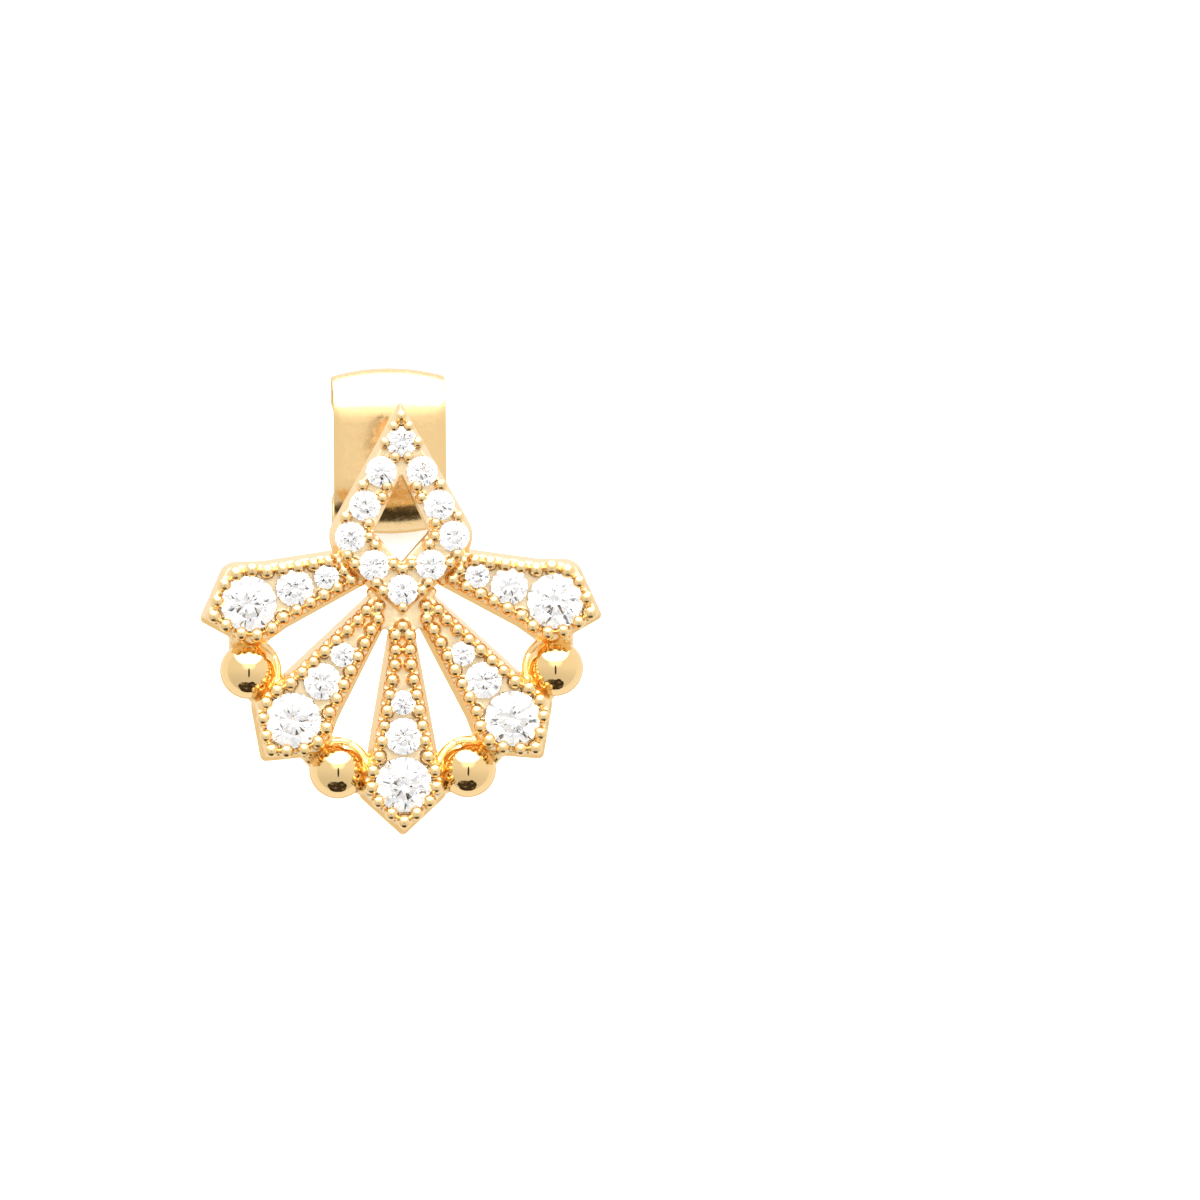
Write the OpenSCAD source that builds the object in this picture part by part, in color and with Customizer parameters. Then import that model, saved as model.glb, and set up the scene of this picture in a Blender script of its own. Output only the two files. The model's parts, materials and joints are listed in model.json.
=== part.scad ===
// Fan earring: a pierced kite above five fanned blades, all set with round
// brilliants between cast beads, polished balls between the blade ends, a
// post behind the kite and a butterfly back that slides on the post.
//
// The jewel is drawn lying on its back, in millimetres: +X to the right, +Y up
// the fan, +Z towards the viewer, Z = 0 at the back of the outer blades and
// Y = 0 just above the kite's lower point. The last step stands it on its
// lowest point and on the butterfly's lower roll, as it rests by itself.

/* [Blades] */
// Width of a blade across its shoulders
shoulder_width = 2.9; // [2.7:0.05:3.0]
// Rounding of the shoulders
shoulder_round = 0.5; // [0.1:0.05:0.6]
// From the large stone out to the blade's point, before rounding
blade_point = 1.61; // [1.55:0.01:1.7]
// Width of a blade at its hip, where the long flanks start
hip_width = 2.18; // [2.1:0.02:2.3]
// How fast each flank closes in towards the hub, per millimetre
flank_taper = 0.178; // [0.16:0.002:0.19]
// Thickness of the cast plate under the stones
plate = 0.95; // [0.85:0.05:1.05]
// Height of the beads above the plate
bead_height = 0.5; // [0.45:0.01:0.6]
// Radius of a bead on the blades
bead_radius = 0.19; // [0.17:0.005:0.2]
// From the outline in to the centres of the beads along it
bead_inset = 0.3; // [0.28:0.01:0.32]
// Distance between beads along a flank
bead_pitch = 0.495; // [0.47:0.005:0.52]

/* [Kite] */
// Height of the kite's upper point
kite_top = 6.95; // [6.8:0.05:7.1]
// Half the kite's width where its flanks would meet
kite_reach = 2.56; // [2.5:0.02:2.62]
// Height at which those flanks would meet
kite_waist = 2.49; // [2.4:0.02:2.6]
// Height of the kite's lower point
kite_foot = -0.065; // [-0.1:0.005:0]
// Rounding of the kite's shoulders
kite_round = 0.95; // [0.8:0.05:1.1]
// Height of the kite's back above the back of the outer blades
kite_lift = 0.36; // [0.3:0.02:0.42]
// Radius of the small beads on the kite
kite_bead_radius = 0.155; // [0.13:0.005:0.17]

/* [Stones] */
// Diameter of the large stones
large_stone = 1.8; // [1.75:0.01:1.85]
// Diameter of the medium stones
medium_stone = 1.2; // [1.15:0.01:1.25]
// Diameter of the small stones
small_stone = 0.8; // [0.75:0.01:0.85]
// Diameter of the stones on the kite
kite_stone = 1.0; // [0.95:0.01:1.03]
// Clearance between a stone and its seat
stone_gap = 0.03; // [0.025:0.005:0.04]
// How far the tables lie below the tops of the beads
table_drop = 0.05; // [0.03:0.01:0.08]
// How much further each stone is turned in its seat than the one before
stone_turn = 19; // [0:1:44]

/* [Balls] */
// Radius of the polished balls
ball_radius = 0.95; // [0.93:0.01:0.97]
// Height of a ball's centre above its flat back
ball_height = 0.48; // [0.42:0.02:0.6]
// Width of the soldered necks between a ball and its blades
neck_width = 1.24; // [1.0:0.02:1.3]
// Thickness of those necks
neck_thickness = 0.6; // [0.5:0.02:0.7]

/* [Post] */
// Length of the post from the kite's back
post_length = 10; // [9.8:0.1:10.4]
// Radius of the post
post_radius = 0.44; // [0.42:0.01:0.45]
// Radius at the bottom of the groove that the butterfly grips
neck_radius = 0.29; // [0.26:0.01:0.32]
// Height of the post's axis up the fan
post_height = 5.45; // [5.4:0.01:5.5]
// Size of the solder fillet round the foot of the post
fillet = 0.2; // [0.15:0.01:0.24]

/* [Butterfly] */
// Distance from the kite's back to the butterfly's plate
clutch_distance = 6.95; // [6.9:0.05:7.1]
// Width of the butterfly's strip
strip_width = 3.7; // [3.4:0.1:4.6]
// Thickness of the strip
strip = 0.22; // [0.2:0.01:0.24]
// Running clearance round the post
running_gap = 0.03; // [0.02:0.005:0.05]

/* [Hidden] */
$fn = 48;

gold = [0.94, 0.74, 0.44];
clear = [0.9, 0.92, 0.95];

// Blades from left to right, with their columns named here.
ANGLE = 0;    // turn from straight down
CROSSING = 1; // height at which the blade's axis crosses the middle
REACH = 2;    // from there out to the large stone
ROOT = 3;     // from the large stone back to the hidden start
LIFT = 4;     // height of the blade's back
FLANK = 5;    // beads along the flank towards the kite
UNDER = 6;    // beads along the other flank
HUB = 7;      // from the large stone back to a last single bead
BLADES = [
    [-71.6, 2.17, 5.21, 3.80, 0.00, 5, 6, 3.26],
    [-37.3, 1.40, 5.84, 5.60, 0.06, 8, 8, 4.70],
    [0, 1.40, 6.75, 6.35, 0.12, 9, 9, 5.15],
    [37.3, 1.40, 5.84, 5.60, 0.06, 8, 8, 4.70],
    [71.6, 2.17, 5.21, 3.80, 0.00, 5, 6, 3.26],
];
hip = 0.9;
shoulder = -0.29;
medium_at = 1.56;
small_at = 2.645;

// Beads round the head of a blade: across, and up from the large stone.
HEAD_BEADS = [[1.0, 0.45], [1.045, -0.08], [0.83, -0.54], [0.41, -0.93]];
point_bead = [0, -1.2];

// Stones of the kite: across and up, on the right half or in the middle.
KITE_STONES = [
    [0, 5.71], [0.66, 4.745], [1.20, 3.655], [1.67, 2.65], [0.92, 1.73],
    [0, 0.935],
];
// The post is soldered behind this one, so its seat has no hole.
blind_stone = 0;

// Beads of the kite in the same way: first those along the outer edge, from
// the top down, and then those between the stones and the hole.
KITE_BEADS = [
    [0, 6.54], [0.24, 6.20], [0.53, 5.68], [1.27, 4.31], [1.82, 3.29],
    [1.77, 2.07], [1.53, 1.78], [0.84, 1.16], [0.62, 0.90], [0, 0.36],
    [0.21, 5.22], [0.48, 4.27], [0.63, 3.91], [1.08, 3.08], [1.06, 2.66],
    [0.86, 2.38], [0.30, 1.77], [0, 1.60],
];
KITE_HOLE = [[0, 4.645, 0.05], [0.887, 2.806, 0.08], [0, 1.839, 0.05]];

// Balls: across, up, height of the back of the blades beside them, and which
// blade is beside them on the side of the middle.
BALLS = [[4.96, -1.65, 0, 3], [2.10, -4.90, 0.06, 2]];
neck_reach = 1.35;

// Shape of a round brilliant, as parts of its radius.
table_part = 0.56;
star_part = 0.79;
crown_part = 0.32;
girdle_part = 0.04;
main_part = 0.24;
pavilion_part = 0.86;
hole_part = 0.55;

// Rolls of the butterfly: radius of the sweep off the plate, of the outer
// turn, of the inner turn and of its end, and the angle at which it stops.
sweep_radius = 1.52;
outer_turn = 1.025;
inner_turn = 0.745;
end_turn = 0.6;
end_angle = 10;
roll_depth = strip / 2 + sweep_radius;
roll_bottom = post_radius + running_gap + strip / 2;
roll_centre = roll_bottom + outer_turn;
roll_top = roll_centre + outer_turn;
inner_width = strip_width - 0.9;
eyelet_radius = 0.72;
eyelet_depth = 0.48;

// The earring rests on the back edge of its lowest point and on the lower
// roll, so it leans by the slope of the line that touches both.
point_round = 0.19;
point_angle = atan2(shoulder_width / 2, blade_point + shoulder);
rest_y = BLADES[2][CROSSING] - BLADES[2][REACH] - blade_point
    + point_round * (1 / sin(point_angle) - 1);
rest_z = BLADES[2][LIFT];
roll_y = post_height - roll_centre;
roll_z = kite_lift - clutch_distance - roll_depth;
roll_outside = outer_turn + strip / 2;
rest_span = norm([roll_y - rest_y, roll_z - rest_z]);
lean = atan2(roll_y - rest_y, rest_z - roll_z) - asin(roll_outside / rest_span);

// Furthest front and back of the leaning earring, from the tip that it
// rests on: the point's own bead, and the upper roll.
bead_y = BLADES[2][CROSSING] - BLADES[2][REACH] + point_bead[1];
bead_z = rest_z + plate + bead_height - bead_radius;
front = across(bead_y, bead_z) - bead_radius;
back = across(post_height + roll_centre, roll_z) + roll_outside;

// Distance from the resting tip along the floor, once leaned.
function across(y, z) = (y - rest_y) * sin(lean) - (z - rest_z) * cos(lean);

function unit(v) = v / norm(v);
function polar(r, a) = [r * cos(a), r * sin(a)];
function mirrored(v) = [for (i = [0:len(v) - 1]) i == 0 ? -v[0] : v[i]];

// The corner at b between a and c, as an arc of radius r in short steps.
function corner(a, b, c, r) = r == 0 ? [b] :
    let (
        u = unit(a - b),
        v = unit(c - b),
        half = acos(u * v) / 2,
        centre = b + unit(u + v) * r / sin(half),
        from = b + u * r / tan(half) - centre,
        to = b + v * r / tan(half) - centre,
        start = atan2(from[1], from[0]),
        turn = (atan2(to[1], to[0]) - start + 540) % 360 - 180,
        steps = max(2, ceil(abs(turn) / 12))
    )
    [for (i = [0:steps]) centre + polar(r, start + turn * i / steps)];

// A closed outline from points given as [across, up, corner radius].
function rounded(points) = let (n = len(points)) [
    for (i = [0:n - 1])
        let (
            a = points[(i + n - 1) % n],
            b = points[i],
            c = points[(i + 1) % n]
        )
        each corner([a[0], a[1]], [b[0], b[1]], [c[0], c[1]], b[2])
];

// Half the width of a blade on its flanks, at a height above its large stone.
function flank(t) = hip_width / 2 - flank_taper * (t - hip);

// Direction from a ball to the large stone of a blade.
function head_direction(b, p) = let (
    head = [0, b[CROSSING]] + polar(b[REACH], b[ANGLE] - 90)
) atan2(head[1] - p[1], head[0] - p[0]);

// Draws its children on both sides of the middle, or once if they lie on it.
module both_sides(x) {
    children();
    if (x > 0)
        mirror([1, 0, 0])
            children();
}

// Moves its children to a blade's large stone, with +Y towards the hub.
module on_blade(b) {
    translate([0, b[CROSSING], b[LIFT]])
        rotate(b[ANGLE])
            translate([0, -b[REACH], 0])
                children();
}

// Moves its children to the top of a blade's plate.
module on_plate(b, x, y) {
    on_blade(b)
        translate([x, y, plate])
            children();
}

// A cast bead: a short column with a round top, standing on the plate.
module bead(r) {
    rotate_extrude()
        intersection() {
            union() {
                square([r, bead_height - r]);
                translate([0, bead_height - r])
                    circle(r);
            }
            translate([0, -0.1])
                square([r, bead_height + 0.1]);
        }
}

// One blade's plate, pointed at its outer end.
module blade_plate(b) {
    right = [
        [flank(b[ROOT]), b[ROOT], 0], [hip_width / 2, hip, 0.5],
        [shoulder_width / 2, shoulder, shoulder_round],
    ];
    point = [0, -blade_point, point_round];
    left = [for (i = [2:-1:0]) mirrored(right[i])];
    on_blade(b)
        linear_extrude(plate)
            polygon(rounded(concat(right, [point], left)));
}

// The rows of beads along both flanks and round the head of one blade.
module blade_beads(b) {
    for (side = [-1, 1]) {
        count = side * b[ANGLE] < 0 ? b[UNDER] : b[FLANK];
        for (i = [0:count - 1]) {
            t = hip + i * bead_pitch;
            x = max(flank(t) - bead_inset, bead_radius + 0.01);
            on_plate(b, side * x, t)
                bead(bead_radius);
        }
        for (p = HEAD_BEADS)
            on_plate(b, side * p[0], p[1])
                bead(bead_radius);
    }
    for (p = [point_bead, [0, b[HUB]]])
        on_plate(b, p[0], p[1])
            bead(bead_radius);
}

module blade(b) {
    union() {
        blade_plate(b);
        blade_beads(b);
    }
}

// The pierced kite with the beads that hold its stones.
module kite() {
    side = [kite_reach, kite_waist, kite_round];
    edge = [[0, kite_top, 0.1], side, [0, kite_foot, 0.08], mirrored(side)];
    hole = concat(KITE_HOLE, [mirrored(KITE_HOLE[1])]);
    translate([0, 0, kite_lift])
        difference() {
            linear_extrude(plate)
                polygon(rounded(edge));
            translate([0, 0, -1])
                linear_extrude(plate + 2)
                    polygon(rounded(hole));
        }
    for (p = KITE_BEADS)
        both_sides(p[0])
            translate([p[0], p[1], kite_lift + plate])
                bead(kite_bead_radius);
}

// The web that joins the three lower blades, with round window tops.
module web() {
    bottom = -0.465;
    window = 0.14;
    half = 0.69;
    translate([0, 0, BLADES[1][LIFT]])
        difference() {
            translate([-half, bottom, 0])
                cube([2 * half, 1.5, plate]);
            for (x = [-0.552, 0.552])
                translate([x, bottom, -1])
                    cylinder(r = window, h = plate + 2);
        }
}

// A polished ball, flat at the back, with its necks to the blades beside it.
module ball(p) {
    translate([p[0], p[1], p[2]]) {
        rotate_extrude()
            intersection() {
                translate([0, ball_height])
                    circle(ball_radius);
                square([2 * ball_radius, 2 * ball_radius]);
            }
        for (b = [BLADES[p[3]], BLADES[p[3] + 1]])
            rotate(head_direction(b, p))
                translate([0, -neck_width / 2, 0])
                    cube([neck_reach, neck_width, neck_thickness]);
    }
}

// The post: soldered foot, plain shaft, groove and round end.
module post() {
    shaft_end = 6.6;
    grip_radius = post_radius - 0.01;
    groove_start = 7.6;
    neck_start = 8.35;
    neck_end = 8.85;
    knob = post_length - grip_radius;
    sunk = 0.3;
    foot = [
        for (a = [90:15:180])
            [post_radius + fillet, -fillet] + polar(fillet, a)
    ];
    tip = [for (a = [0:15:90]) [grip_radius * cos(a), -knob - grip_radius * sin(a)]];
    translate([0, post_height, kite_lift])
        rotate_extrude()
            polygon(concat(
                [[0, sunk], [post_radius + fillet, sunk]],
                foot,
                [
                    [post_radius, -shaft_end], [grip_radius, -groove_start],
                    [neck_radius, -neck_start], [neck_radius, -neck_end],
                ],
                tip
            ));
}

// Places the tool or the stone of one size at its table's height.
module at_girdle(d) {
    translate([0, 0, bead_height - table_drop - (crown_part + girdle_part / 2) * d / 2])
        children();
}

// The space that one stone needs: its own shape with the gap all round, and
// a hole through the back unless the seat is blind.
module seat(d, blind = false) {
    r = d / 2;
    half = girdle_part * r / 2;
    hole = hole_part * r;
    star_height = half + crown_part * r * star_rise();
    well = blind
        ? [[0, -half - pavilion_part * (r + stone_gap)]]
        : [[0, -4], [hole, -4], [hole, -half - pavilion_part * (r + stone_gap - hole)]];
    at_girdle(d)
        rotate_extrude()
            polygon(concat(well, [
                [r + stone_gap, -half], [r + stone_gap, half],
                [star_part * r + stone_gap, star_height],
                [table_part * r + stone_gap, half + crown_part * r],
                [table_part * r + stone_gap, bead_height],
                [0, bead_height],
            ]));
}

// Height of the points between the table and the girdle, as a part of the
// crown's height, so that the eight bezel facets are flat.
function star_rise() = (1 - star_part * cos(22.5)) / (1 - table_part);

// A round brilliant with its girdle at Z = 0 and its table up: rings of
// points from the table down, joined by the facets listed below.
module brilliant(d) {
    r = d / 2;
    half = girdle_part * r / 2;
    main_drop = pavilion_part * r * (1 - main_part * cos(22.5));
    table = [for (i = [0:7]) [each polar(table_part * r, 45 * i), half + crown_part * r]];
    star = [
        for (i = [0:7])
            [each polar(star_part * r, 45 * i + 22.5), half + crown_part * r * star_rise()]
    ];
    upper = [for (i = [0:15]) [each polar(r, 22.5 * i), half]];
    lower = [for (i = [0:15]) [each polar(r, 22.5 * i), -half]];
    main = [for (i = [0:7]) [each polar(main_part * r, 45 * i + 22.5), -half - main_drop]];
    culet = [0, 0, -half - pavilion_part * r];
    t0 = 0;
    s0 = 8;
    u0 = 16;
    l0 = 32;
    m0 = 48;
    c0 = 56;
    polyhedron(
        points = concat(table, star, upper, lower, main, [culet]),
        faces = concat(
            [[for (i = [7:-1:0]) t0 + i]],
            [for (i = [0:7]) [t0 + i, t0 + (i + 1) % 8, s0 + i]],
            [for (i = [0:7]) [t0 + i, s0 + i, u0 + 2 * i, s0 + (i + 7) % 8]],
            [for (i = [0:7]) [s0 + i, u0 + 2 * i + 1, u0 + 2 * i]],
            [for (i = [0:7]) [s0 + i, u0 + (2 * i + 2) % 16, u0 + 2 * i + 1]],
            [for (i = [0:15]) [u0 + i, u0 + (i + 1) % 16, l0 + (i + 1) % 16, l0 + i]],
            [for (i = [0:7]) [m0 + i, l0 + 2 * i, l0 + 2 * i + 1]],
            [for (i = [0:7]) [m0 + i, l0 + 2 * i + 1, l0 + (2 * i + 2) % 16]],
            [for (i = [0:7]) [c0, m0 + (i + 7) % 8, l0 + 2 * i, m0 + i]]
        )
    );
}

// Draws its children at every stone place of one kind on the blades.
module on_blade_stones(y) {
    for (b = BLADES)
        on_plate(b, 0, y)
            children();
}

module all_seats() {
    on_blade_stones(0)
        seat(large_stone);
    on_blade_stones(medium_at)
        seat(medium_stone);
    on_blade_stones(small_at)
        seat(small_stone);
    for (i = [0:len(KITE_STONES) - 1])
        both_sides(KITE_STONES[i][0])
            translate([KITE_STONES[i][0], KITE_STONES[i][1], kite_lift + plate])
                seat(kite_stone, i == blind_stone);
}

// Turns the finished jewel from its drawn position to its resting one.
module resting() {
    translate([0, -(front + back) / 2, 0])
        rotate([90 - lean, 0, 0])
            translate([0, -rest_y, -rest_z])
                children();
}

module fan_setting() {
    color(gold)
        resting()
            difference() {
                union() {
                    union() {
                        for (b = BLADES)
                            blade(b);
                    }
                    union() {
                        kite();
                        web();
                        post();
                    }
                    for (p = BALLS)
                        both_sides(p[0])
                            ball(p);
                }
                all_seats();
            }
}

// Part of the strip that turns about a point of the roll, between two
// angles counted from straight behind the plate towards the post's end.
module strip_turn(radius, height, from, to, width) {
    translate([0, height, -roll_depth])
        rotate([0, 90, 0])
            rotate(from)
                rotate_extrude(angle = to - from)
                    translate([radius - strip / 2, -width / 2])
                        square([strip, width]);
}

// One rolled wing of the butterfly, above the post.
module wing() {
    strip_turn(sweep_radius, roll_top - sweep_radius, 90, 180, strip_width);
    strip_turn(outer_turn, roll_centre, -90, 90, strip_width);
    strip_turn(inner_turn, roll_bottom + inner_turn, 90, 270, inner_width);
    strip_turn(end_turn, roll_bottom + 2 * inner_turn - end_turn, end_angle, 90, inner_width);
}

// The butterfly back, with the front of its plate at Z = 0.
module butterfly_back() {
    flat = roll_top - sweep_radius;
    color(gold)
        resting()
            translate([0, post_height, kite_lift - clutch_distance])
                difference() {
                    union() {
                        translate([-strip_width / 2, -flat, -strip])
                            cube([strip_width, 2 * flat, strip]);
                        translate([0, 0, -eyelet_depth])
                            cylinder(r = eyelet_radius, h = eyelet_depth - 0.1);
                        wing();
                        mirror([0, 1, 0])
                            wing();
                    }
                    translate([0, 0, -1])
                        cylinder(r = post_radius + running_gap, h = 2);
                }
}

// Stones of the blades, numbered from left to right, y up from the large one.
module blade_stone(i, d, y) {
    color(clear)
        resting()
            on_plate(BLADES[i - 1], 0, y)
                at_girdle(d)
                    rotate(stone_turn * (i + y))
                        brilliant(d);
}

// Stones of the kite, numbered from the top down the right side to the foot
// and then down the left side.
module kite_gem(i) {
    n = len(KITE_STONES);
    p = i <= n ? KITE_STONES[i - 1] : mirrored(KITE_STONES[i - n]);
    color(clear)
        resting()
            translate([p[0], p[1], kite_lift + plate])
                at_girdle(kite_stone)
                    rotate(stone_turn * i)
                        brilliant(kite_stone);
}

fan_setting();
butterfly_back();
for (i = [1:10])
    kite_gem(i);
for (i = [1:5]) {
    blade_stone(i, large_stone, 0);
    blade_stone(i, medium_stone, medium_at);
    blade_stone(i, small_stone, small_at);
}
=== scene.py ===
"""Looks of the fan earring: a pierced kite above five fanned blades.

The cast gold is modelled in the drawn frame of the jewel, in millimetres:
+X to the right, +Y up the fan, +Z out of its face. Each casting is then
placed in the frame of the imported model, in metres.
"""

from __future__ import annotations

import json
import logging
import math
import random
from dataclasses import dataclass
from enum import Enum
from typing import Sequence

import bmesh
import bpy
from mathutils import Matrix, Vector

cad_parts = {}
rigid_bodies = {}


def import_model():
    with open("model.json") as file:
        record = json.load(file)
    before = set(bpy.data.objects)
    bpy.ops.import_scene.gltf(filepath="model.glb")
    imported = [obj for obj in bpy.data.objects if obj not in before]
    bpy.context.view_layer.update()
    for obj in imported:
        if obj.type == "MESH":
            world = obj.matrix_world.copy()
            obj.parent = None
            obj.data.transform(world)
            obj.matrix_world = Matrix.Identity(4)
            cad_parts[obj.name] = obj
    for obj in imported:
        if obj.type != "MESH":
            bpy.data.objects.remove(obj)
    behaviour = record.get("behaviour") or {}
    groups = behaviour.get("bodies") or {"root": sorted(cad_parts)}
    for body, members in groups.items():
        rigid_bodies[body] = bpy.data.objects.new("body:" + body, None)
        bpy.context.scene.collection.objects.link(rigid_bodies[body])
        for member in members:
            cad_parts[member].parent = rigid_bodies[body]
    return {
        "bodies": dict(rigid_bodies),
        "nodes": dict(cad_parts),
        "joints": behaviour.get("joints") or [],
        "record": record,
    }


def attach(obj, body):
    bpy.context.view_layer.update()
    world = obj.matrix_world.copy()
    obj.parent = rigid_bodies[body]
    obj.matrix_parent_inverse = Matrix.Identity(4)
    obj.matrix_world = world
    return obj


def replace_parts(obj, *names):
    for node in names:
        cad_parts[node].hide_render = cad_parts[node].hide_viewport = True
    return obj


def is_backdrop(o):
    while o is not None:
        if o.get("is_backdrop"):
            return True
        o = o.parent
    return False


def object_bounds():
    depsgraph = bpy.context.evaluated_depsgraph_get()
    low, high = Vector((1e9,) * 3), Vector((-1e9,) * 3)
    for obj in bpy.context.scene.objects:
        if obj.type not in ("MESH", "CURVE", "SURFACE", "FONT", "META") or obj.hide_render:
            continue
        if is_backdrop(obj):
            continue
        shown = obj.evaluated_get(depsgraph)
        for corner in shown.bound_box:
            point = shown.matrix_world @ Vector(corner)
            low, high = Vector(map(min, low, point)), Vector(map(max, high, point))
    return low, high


LOG = logging.getLogger("fan_earring")
MM = 0.001
OUT = Vector((0.0, 0.0, 1.0))
RIGHT = Vector((1.0, 0.0, 0.0))
Point = tuple[float, float]
Colour = tuple[float, float, float]
Piece = bpy.types.Object
Socket = bpy.types.NodeSocket


class Body(Enum):
    """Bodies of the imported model."""

    FAN = "fan"
    BUTTERFLY = "butterfly"


class Slot(Enum):
    """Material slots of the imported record."""

    CAST = "cast_gold"
    SPRING = "spring_gold"
    STONE = "stone"


class Grain(Enum):
    """Voxel sizes of a casting's skin, in millimetres."""

    FINE = 0.034
    DRAFT = 0.05


# Placement


@dataclass(frozen=True)
class Placed:
    """Something with a place on the drawing.

    Attributes:
        x: How far to the right its middle is.
        y: How far up the fan its middle is.
    """

    x: float
    y: float

    @property
    def place(self) -> Vector:
        """Its middle, flat on the drawing."""
        return Vector((self.x, self.y))


@dataclass(frozen=True)
class Stone(Placed):
    """A round stone in the drawn frame.

    Attributes:
        table: Height of its table.
        diameter: Its width at the girdle.
    """

    table: float
    diameter: float


@dataclass(frozen=True)
class Drawing:
    """The drawn frame of the jewel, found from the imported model.

    Attributes:
        to_row: Matrix from drawn millimetres to metres in the row frame.
        nodes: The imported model's nodes by name.
    """

    to_row: Matrix
    nodes: dict[str, Piece]

    @classmethod
    def from_frame(cls, frame: dict, post_height: float, pin_middle: float) -> Drawing:
        """Works it out from the post's pin, whose middle's drawn place is given."""
        mount = frame["record"]["mounts"][0]
        face = -Vector(mount["axis"]).normalized()
        upward = face.cross(RIGHT)
        turn = Matrix((RIGHT, upward, face)).transposed().to_4x4()
        scale = Matrix.Scale(MM, 4)
        start = turn @ scale @ Vector((0.0, post_height, pin_middle))
        move = Matrix.Translation(Vector(mount["pos_m"]) - start)
        return cls(move @ turn @ scale, frame["nodes"])

    def stone(self, name: str) -> Stone:
        """Returns a stone, measured from its node, in the drawn frame."""
        back = self.to_row.inverted()
        points = [back @ v.co for v in self.nodes[name].data.vertices]
        low = [min(p[i] for p in points) for i in range(3)]
        high = [max(p[i] for p in points) for i in range(3)]
        return Stone((low[0] + high[0]) / 2, (low[1] + high[1]) / 2, high[2], high[0] - low[0])


# Finishes


class NodeTree:
    """A short way to write a material's or a world's nodes."""

    def __init__(self, tree: bpy.types.NodeTree) -> None:
        """Empties a tree to start from."""
        self.tree = tree
        tree.nodes.clear()

    def add(self, kind: str, inputs: dict | None = None, **settings) -> bpy.types.Node:
        """Adds a node with values or sockets as its inputs, and with settings."""
        node = self.tree.nodes.new(kind)
        for name, value in settings.items():
            setattr(node, name, value)
        for key, value in (inputs or {}).items():
            if isinstance(value, Socket):
                self.tree.links.new(value, node.inputs[key])
            else:
                node.inputs[key].default_value = value
        return node

    def math(self, operation: str, a, b=0.0) -> Socket:
        """Returns a Math node's result, of two values or sockets."""
        return self.add("ShaderNodeMath", {0: a, 1: b}, operation=operation).outputs[0]

    def noise(self, place, scale: float, detail: float) -> Socket:
        """Returns a noise at a place, with so many humps to the unit."""
        inputs = {"Vector": place, "Scale": scale, "Detail": detail}
        return self.add("ShaderNodeTexNoise", inputs).outputs["Fac"]

    def along(self, ray, axis: Vector) -> Socket:
        """Returns the length of a ray along an axis."""
        inputs = {0: ray, 1: tuple(axis)}
        node = self.add("ShaderNodeVectorMath", inputs, operation="DOT_PRODUCT")
        return node.outputs["Value"]

    def mix(self, share, first, second) -> Socket:
        """Returns a mix of two colours, each a triple or a socket."""
        inputs = {0: share}
        for number, colour in ((6, first), (7, second)):
            inputs[number] = colour if isinstance(colour, Socket) else (*colour, 1.0)
        return self.add("ShaderNodeMix", inputs, data_type="RGBA").outputs[2]

    def surface(self, inputs: dict) -> None:
        """Adds a Principled shader with the given inputs, and the output."""
        shader = self.add("ShaderNodeBsdfPrincipled", inputs)
        self.add("ShaderNodeOutputMaterial", {"Surface": shader.outputs[0]})

    def ramp(self, value, low: float, high: float, start: float, end: float):
        """Returns a smooth step of a value between two levels."""
        inputs = {"Value": value, 1: low, 2: high, 3: start, 4: end}
        node = self.add("ShaderNodeMapRange", inputs, interpolation_type="SMOOTHSTEP")
        return node.outputs[0]


def new_material(name: str) -> tuple[bpy.types.Material, NodeTree]:
    """Returns a new material and its empty tree."""
    made = bpy.data.materials.new(name)
    made.use_nodes = True
    return made, NodeTree(made.node_tree)


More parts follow.
